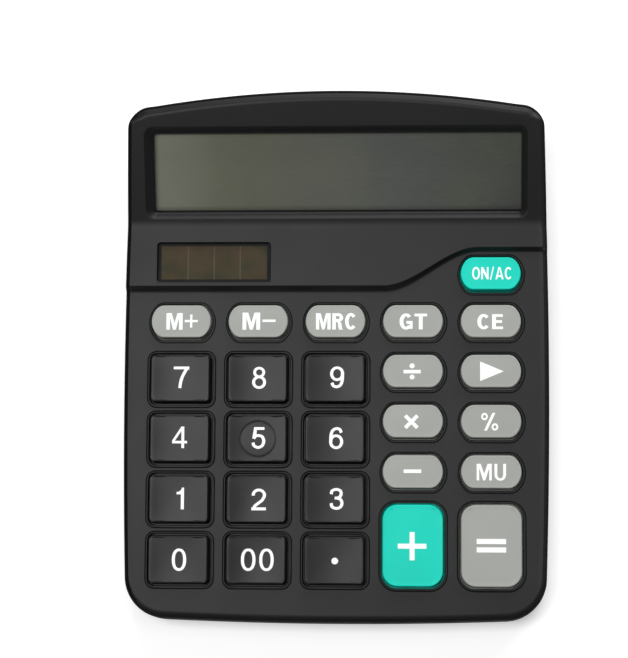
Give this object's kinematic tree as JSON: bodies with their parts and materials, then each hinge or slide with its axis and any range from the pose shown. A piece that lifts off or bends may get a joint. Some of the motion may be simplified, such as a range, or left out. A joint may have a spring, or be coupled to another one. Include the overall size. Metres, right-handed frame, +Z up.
{
  "type": "desk calculator",
  "caption": "Low wedge-shaped desk calculator with a sloped display hood, solar window, black number keys and oval function keys.",
  "frame": {"origin": "on the table surface, under the middle of the case's plan outline", "axes": "+X to the user's right, +Y from the user to the display, +Z up"},
  "size_m": [0.1198, 0.1481, 0.033],
  "materials": {
    "case_black": "moulded ABS with a fine spark-eroded grain, slightly glossier on the display hood",
    "key_black": "smooth moulded ABS with a soft sheen and printed white figures",
    "key_grey": "smooth light grey ABS with printed white figures",
    "key_teal": "smooth teal ABS with printed white figures",
    "foot_rubber": "soft black rubber",
    "screw_steel": "zinc-plated steel",
    "contact_steel": "nickel-plated spring steel",
    "clear_lens": "clear polished acrylic",
    "lcd_glass": "grey-green reflective liquid crystal panel behind a semi-matt polariser",
    "holder_black": "black moulded plastic",
    "ribbon_film": "amber film with carbon tracks",
    "solar_glass": "dark brown amorphous silicon on glass",
    "board_laminate": "green lacquered laminate",
    "silicone": "translucent grey silicone rubber",
    "chip_resin": "black epoxy resin",
    "capacitor_can": "sleeved aluminium can",
    "cell_wrap": "plain printed wrap on a dry cell, with bare metal ends",
    "wire_red": "red PVC insulation",
    "wire_black": "black PVC insulation"
  },
  "bodies": {
    "housing": {"top_cover": "case_black", "bottom_cover": "case_black", "rubber_feet": "foot_rubber", "case_screws": "screw_steel", "display_lens": "clear_lens", "display_panel": "lcd_glass", "display_holder": "holder_black", "display_screws": "screw_steel", "display_ribbon": "ribbon_film", "solar_cell": "solar_glass", "main_board": "board_laminate", "board_screws": "screw_steel", "rubber_keypad": "silicone", "calculator_chip": "chip_resin", "buffer_capacitor": "capacitor_can", "battery_cell": "cell_wrap", "contact_plate": "contact_steel", "contact_spring": "contact_steel", "battery_wire_red": "wire_red", "battery_wire_black": "wire_black", "solar_wire_red": "wire_red", "solar_wire_black": "wire_black"},
    "key_7": {"key_7": "key_black"},
    "key_8": {"key_8": "key_black"},
    "key_9": {"key_9": "key_black"},
    "key_4": {"key_4": "key_black"},
    "key_5": {"key_5": "key_black"},
    "key_6": {"key_6": "key_black"},
    "key_1": {"key_1": "key_black"},
    "key_2": {"key_2": "key_black"},
    "key_3": {"key_3": "key_black"},
    "key_0": {"key_0": "key_black"},
    "key_00": {"key_00": "key_black"},
    "key_decimal": {"key_decimal": "key_black"},
    "key_m_plus": {"key_m_plus": "key_grey"},
    "key_m_minus": {"key_m_minus": "key_grey"},
    "key_mrc": {"key_mrc": "key_grey"},
    "key_gt": {"key_gt": "key_grey"},
    "key_ce": {"key_ce": "key_grey"},
    "key_divide": {"key_divide": "key_grey"},
    "key_arrow": {"key_arrow": "key_grey"},
    "key_multiply": {"key_multiply": "key_grey"},
    "key_percent": {"key_percent": "key_grey"},
    "key_minus": {"key_minus": "key_grey"},
    "key_mu": {"key_mu": "key_grey"},
    "key_equals": {"key_equals": "key_grey"},
    "key_on_ac": {"key_on_ac": "key_teal"},
    "key_plus": {"key_plus": "key_teal"},
    "battery_door": {"battery_door": "case_black"}
  },
  "joints": [
    {"name": "key_7_press", "type": "slide", "parent": "housing", "child": "key_7", "axis": [0, 0.061, -0.9981], "range_m": [0, 0.0015], "stiffness_N_per_m": 400, "springref_m": -0.0004, "deforming": ["rubber_keypad"]},
    {"name": "key_8_press", "type": "slide", "parent": "housing", "child": "key_8", "axis": [0, 0.061, -0.9981], "range_m": [0, 0.0015], "stiffness_N_per_m": 400, "springref_m": -0.0004, "deforming": ["rubber_keypad"]},
    {"name": "key_9_press", "type": "slide", "parent": "housing", "child": "key_9", "axis": [0, 0.061, -0.9981], "range_m": [0, 0.0015], "stiffness_N_per_m": 400, "springref_m": -0.0004, "deforming": ["rubber_keypad"]},
    {"name": "key_4_press", "type": "slide", "parent": "housing", "child": "key_4", "axis": [0, 0.061, -0.9981], "range_m": [0, 0.0015], "stiffness_N_per_m": 400, "springref_m": -0.0004, "deforming": ["rubber_keypad"]},
    {"name": "key_5_press", "type": "slide", "parent": "housing", "child": "key_5", "axis": [0, 0.061, -0.9981], "range_m": [0, 0.0015], "stiffness_N_per_m": 400, "springref_m": -0.0004, "deforming": ["rubber_keypad"]},
    {"name": "key_6_press", "type": "slide", "parent": "housing", "child": "key_6", "axis": [0, 0.061, -0.9981], "range_m": [0, 0.0015], "stiffness_N_per_m": 400, "springref_m": -0.0004, "deforming": ["rubber_keypad"]},
    {"name": "key_1_press", "type": "slide", "parent": "housing", "child": "key_1", "axis": [0, 0.061, -0.9981], "range_m": [0, 0.0015], "stiffness_N_per_m": 400, "springref_m": -0.0004, "deforming": ["rubber_keypad"]},
    {"name": "key_2_press", "type": "slide", "parent": "housing", "child": "key_2", "axis": [0, 0.061, -0.9981], "range_m": [0, 0.0015], "stiffness_N_per_m": 400, "springref_m": -0.0004, "deforming": ["rubber_keypad"]},
    {"name": "key_3_press", "type": "slide", "parent": "housing", "child": "key_3", "axis": [0, 0.061, -0.9981], "range_m": [0, 0.0015], "stiffness_N_per_m": 400, "springref_m": -0.0004, "deforming": ["rubber_keypad"]},
    {"name": "key_0_press", "type": "slide", "parent": "housing", "child": "key_0", "axis": [0, 0.061, -0.9981], "range_m": [0, 0.0015], "stiffness_N_per_m": 400, "springref_m": -0.0004, "deforming": ["rubber_keypad"]},
    {"name": "key_00_press", "type": "slide", "parent": "housing", "child": "key_00", "axis": [0, 0.061, -0.9981], "range_m": [0, 0.0015], "stiffness_N_per_m": 400, "springref_m": -0.0004, "deforming": ["rubber_keypad"]},
    {"name": "key_decimal_press", "type": "slide", "parent": "housing", "child": "key_decimal", "axis": [0, 0.061, -0.9981], "range_m": [0, 0.0015], "stiffness_N_per_m": 400, "springref_m": -0.0004, "deforming": ["rubber_keypad"]},
    {"name": "key_m_plus_press", "type": "slide", "parent": "housing", "child": "key_m_plus", "axis": [0, 0.061, -0.9981], "range_m": [0, 0.0015], "stiffness_N_per_m": 400, "springref_m": -0.0004, "deforming": ["rubber_keypad"]},
    {"name": "key_m_minus_press", "type": "slide", "parent": "housing", "child": "key_m_minus", "axis": [0, 0.061, -0.9981], "range_m": [0, 0.0015], "stiffness_N_per_m": 400, "springref_m": -0.0004, "deforming": ["rubber_keypad"]},
    {"name": "key_mrc_press", "type": "slide", "parent": "housing", "child": "key_mrc", "axis": [0, 0.061, -0.9981], "range_m": [0, 0.0015], "stiffness_N_per_m": 400, "springref_m": -0.0004, "deforming": ["rubber_keypad"]},
    {"name": "key_gt_press", "type": "slide", "parent": "housing", "child": "key_gt", "axis": [0, 0.061, -0.9981], "range_m": [0, 0.0015], "stiffness_N_per_m": 400, "springref_m": -0.0004, "deforming": ["rubber_keypad"]},
    {"name": "key_ce_press", "type": "slide", "parent": "housing", "child": "key_ce", "axis": [0, 0.061, -0.9981], "range_m": [0, 0.0015], "stiffness_N_per_m": 400, "springref_m": -0.0004, "deforming": ["rubber_keypad"]},
    {"name": "key_divide_press", "type": "slide", "parent": "housing", "child": "key_divide", "axis": [0, 0.061, -0.9981], "range_m": [0, 0.0015], "stiffness_N_per_m": 400, "springref_m": -0.0004, "deforming": ["rubber_keypad"]},
    {"name": "key_arrow_press", "type": "slide", "parent": "housing", "child": "key_arrow", "axis": [0, 0.061, -0.9981], "range_m": [0, 0.0015], "stiffness_N_per_m": 400, "springref_m": -0.0004, "deforming": ["rubber_keypad"]},
    {"name": "key_multiply_press", "type": "slide", "parent": "housing", "child": "key_multiply", "axis": [0, 0.061, -0.9981], "range_m": [0, 0.0015], "stiffness_N_per_m": 400, "springref_m": -0.0004, "deforming": ["rubber_keypad"]},
    {"name": "key_percent_press", "type": "slide", "parent": "housing", "child": "key_percent", "axis": [0, 0.061, -0.9981], "range_m": [0, 0.0015], "stiffness_N_per_m": 400, "springref_m": -0.0004, "deforming": ["rubber_keypad"]},
    {"name": "key_minus_press", "type": "slide", "parent": "housing", "child": "key_minus", "axis": [0, 0.061, -0.9981], "range_m": [0, 0.0015], "stiffness_N_per_m": 400, "springref_m": -0.0004, "deforming": ["rubber_keypad"]},
    {"name": "key_mu_press", "type": "slide", "parent": "housing", "child": "key_mu", "axis": [0, 0.061, -0.9981], "range_m": [0, 0.0015], "stiffness_N_per_m": 400, "springref_m": -0.0004, "deforming": ["rubber_keypad"]},
    {"name": "key_equals_press", "type": "slide", "parent": "housing", "child": "key_equals", "axis": [0, 0.061, -0.9981], "range_m": [0, 0.0015], "stiffness_N_per_m": 400, "springref_m": -0.0004, "deforming": ["rubber_keypad"]},
    {"name": "key_on_ac_press", "type": "slide", "parent": "housing", "child": "key_on_ac", "axis": [0, 0.061, -0.9981], "range_m": [0, 0.0015], "stiffness_N_per_m": 400, "springref_m": -0.0004, "deforming": ["rubber_keypad"]},
    {"name": "key_plus_press", "type": "slide", "parent": "housing", "child": "key_plus", "axis": [0, 0.061, -0.9981], "range_m": [0, 0.0015], "stiffness_N_per_m": 400, "springref_m": -0.0004, "deforming": ["rubber_keypad"]},
    {"name": "battery_door_hinge", "type": "hinge", "parent": "housing", "child": "battery_door", "pos_m": [-0.0011, 0.0496, 0.0012], "axis": [-1, 0, 0], "range_deg": [0, 70]}
  ]
}
